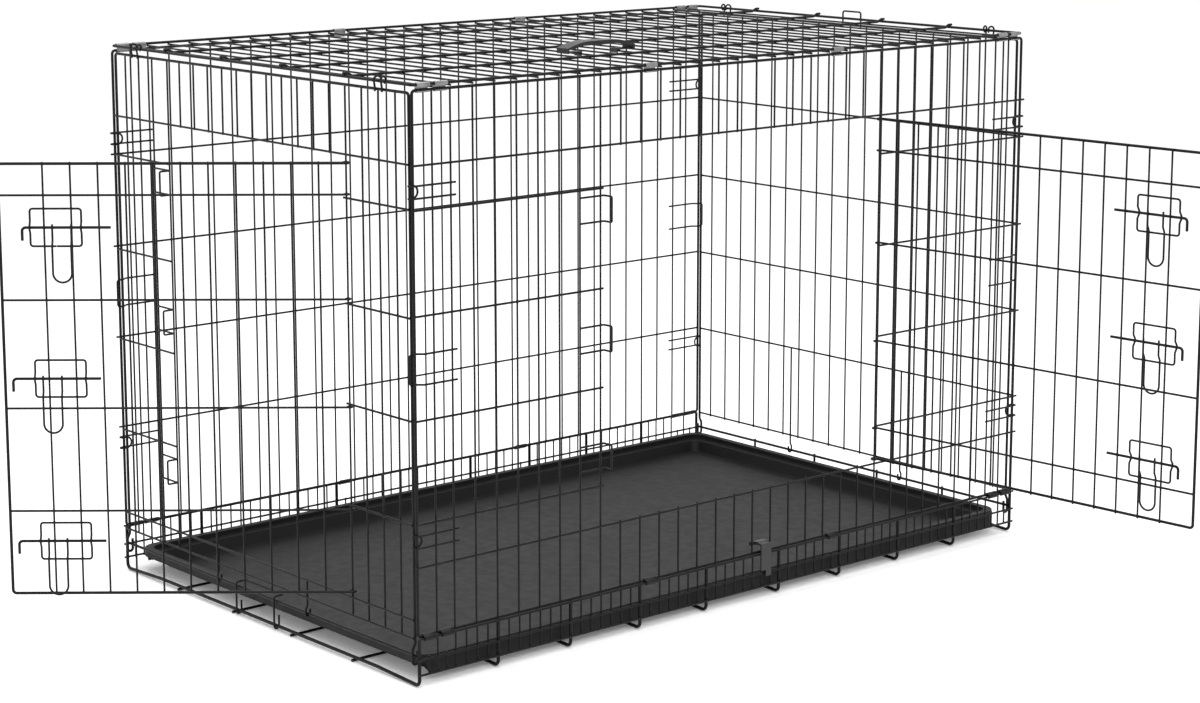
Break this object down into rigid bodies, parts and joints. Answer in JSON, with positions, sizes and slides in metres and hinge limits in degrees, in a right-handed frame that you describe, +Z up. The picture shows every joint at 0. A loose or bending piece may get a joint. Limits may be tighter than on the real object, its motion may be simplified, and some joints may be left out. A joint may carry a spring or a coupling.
{
  "type": "wire dog crate",
  "caption": "Folding wire dog crate with a side door and an end door, both open, wire slide bolts, a black floor tray and a carry strap.",
  "frame": {"origin": "on the ground under the crate's middle", "axes": "+X along the length towards the end without a door, +Y from the front with the large door to the back, +Z up"},
  "size_m": [1.5964, 1.3489, 0.8411],
  "materials": {
    "coated_wire": "smooth black coating, slight gloss",
    "latch_wire": "smooth black coating, slight gloss",
    "clip_sheet": "black coated steel strip",
    "bare_sheet": "satin zinc-plated steel strip",
    "tray_plastic": "satin black moulded plastic",
    "moulded_plastic": "satin black moulded plastic"
  },
  "bodies": {
    "crate": {"base_end_frames": "coated_wire", "base_end_rails": "coated_wire", "base_cross_ribs": "coated_wire", "base_floor_wires": "coated_wire", "front_skirt_rails": "coated_wire", "rear_skirt_rails": "coated_wire", "front_skirt_wires": "coated_wire", "rear_skirt_wires": "coated_wire", "front_panel_frame": "coated_wire", "front_panel_rails": "coated_wire", "front_panel_wires": "coated_wire", "back_panel_frame": "coated_wire", "back_panel_rails": "coated_wire", "back_panel_wires": "coated_wire", "roof_frame_rails": "coated_wire", "roof_long_wires": "coated_wire", "roof_cross_wires": "coated_wire", "front_corner_hooks": "coated_wire", "rear_corner_hooks": "coated_wire", "front_panel_strikers": "latch_wire", "upper_hinge_clips": "bare_sheet", "lower_hinge_clips": "clip_sheet", "carry_handle": "moulded_plastic"},
    "left_end_panel": {"left_panel_frame": "coated_wire", "left_panel_rails": "coated_wire", "left_panel_wires": "coated_wire", "left_panel_hinge_curls": "coated_wire", "left_panel_top_hooks": "coated_wire", "left_panel_strikers": "latch_wire"},
    "right_end_panel": {"right_panel_frame": "coated_wire", "right_panel_rails": "coated_wire", "right_panel_wires": "coated_wire", "right_panel_hinge_curls": "coated_wire", "right_panel_top_hooks": "coated_wire", "right_panel_lift_loop": "coated_wire"},
    "front_door": {"front_door_frame": "coated_wire", "front_door_rails": "coated_wire", "front_door_wires": "coated_wire", "front_door_latch_guides": "latch_wire"},
    "end_door": {"end_door_frame": "coated_wire", "end_door_rails": "coated_wire", "end_door_wires": "coated_wire", "end_door_latch_guides": "latch_wire"},
    "front_bolt_upper": {"front_latch_bolt_upper": "latch_wire"},
    "front_bolt_middle": {"front_latch_bolt_middle": "latch_wire"},
    "front_bolt_lower": {"front_latch_bolt_lower": "latch_wire"},
    "end_bolt_upper": {"end_latch_bolt_upper": "latch_wire"},
    "end_bolt_middle": {"end_latch_bolt_middle": "latch_wire"},
    "end_bolt_lower": {"end_latch_bolt_lower": "latch_wire"},
    "tray": {"floor_tray": "tray_plastic"},
    "gate": {"tray_gate": "coated_wire"},
    "fold_clip": {"fold_clip": "moulded_plastic"}
  },
  "joints": [
    {"name": "front_door_swing", "type": "hinge", "parent": "crate", "child": "front_door", "pos_m": [0.28345, -0.3807, 0.445], "axis": [0, 0, 1], "range_deg": [-93.5, 74]},
    {"name": "end_door_swing", "type": "hinge", "parent": "left_end_panel", "child": "end_door", "pos_m": [-0.6107, -0.22867, 0.405], "axis": [0, 0, -1], "range_deg": [-118, 49.5]},
    {"name": "left_end_fold", "type": "hinge", "parent": "crate", "child": "left_end_panel", "pos_m": [-0.61, 0, 0.044], "axis": [0, 1, 0], "range_deg": [0, 90]},
    {"name": "right_end_fold", "type": "hinge", "parent": "crate", "child": "right_end_panel", "pos_m": [0.61, 0, 0.044], "axis": [0, 1, 0], "range_deg": [-90, 0]},
    {"name": "front_bolt_upper_slide", "type": "slide", "parent": "front_door", "child": "front_bolt_upper", "axis": [0.0698, -0.9976, 0], "range_m": [-0.0081, 0.0228]},
    {"name": "front_bolt_middle_slide", "type": "slide", "parent": "front_door", "child": "front_bolt_middle", "axis": [0.0698, -0.9976, 0], "range_m": [-0.0081, 0.0228]},
    {"name": "front_bolt_lower_slide", "type": "slide", "parent": "front_door", "child": "front_bolt_lower", "axis": [0.0698, -0.9976, 0], "range_m": [-0.0081, 0.0228]},
    {"name": "end_bolt_upper_slide", "type": "slide", "parent": "end_door", "child": "end_bolt_upper", "axis": [-0.766, 0.6428, 0], "range_m": [-0.0071, 0.0258]},
    {"name": "end_bolt_middle_slide", "type": "slide", "parent": "end_door", "child": "end_bolt_middle", "axis": [-0.766, 0.6428, 0], "range_m": [-0.0266, 0.0063]},
    {"name": "end_bolt_lower_slide", "type": "slide", "parent": "end_door", "child": "end_bolt_lower", "axis": [-0.766, 0.6428, 0], "range_m": [-0.0266, 0.0063]},
    {"name": "tray_slide", "type": "slide", "parent": "crate", "child": "tray", "axis": [1, 0, 0], "range_m": [-0.0135, 0.006]},
    {"name": "tray_gate_swing", "type": "hinge", "parent": "crate", "child": "gate", "pos_m": [-0.61, 0.0145, 0.00652], "axis": [0, 1, 0], "range_deg": [-90, 0]},
    {"name": "fold_clip_swing", "type": "hinge", "parent": "crate", "child": "fold_clip", "pos_m": [0.04, -0.3852, 0.04], "axis": [1, 0, 0], "range_deg": [0, 80]}
  ]
}
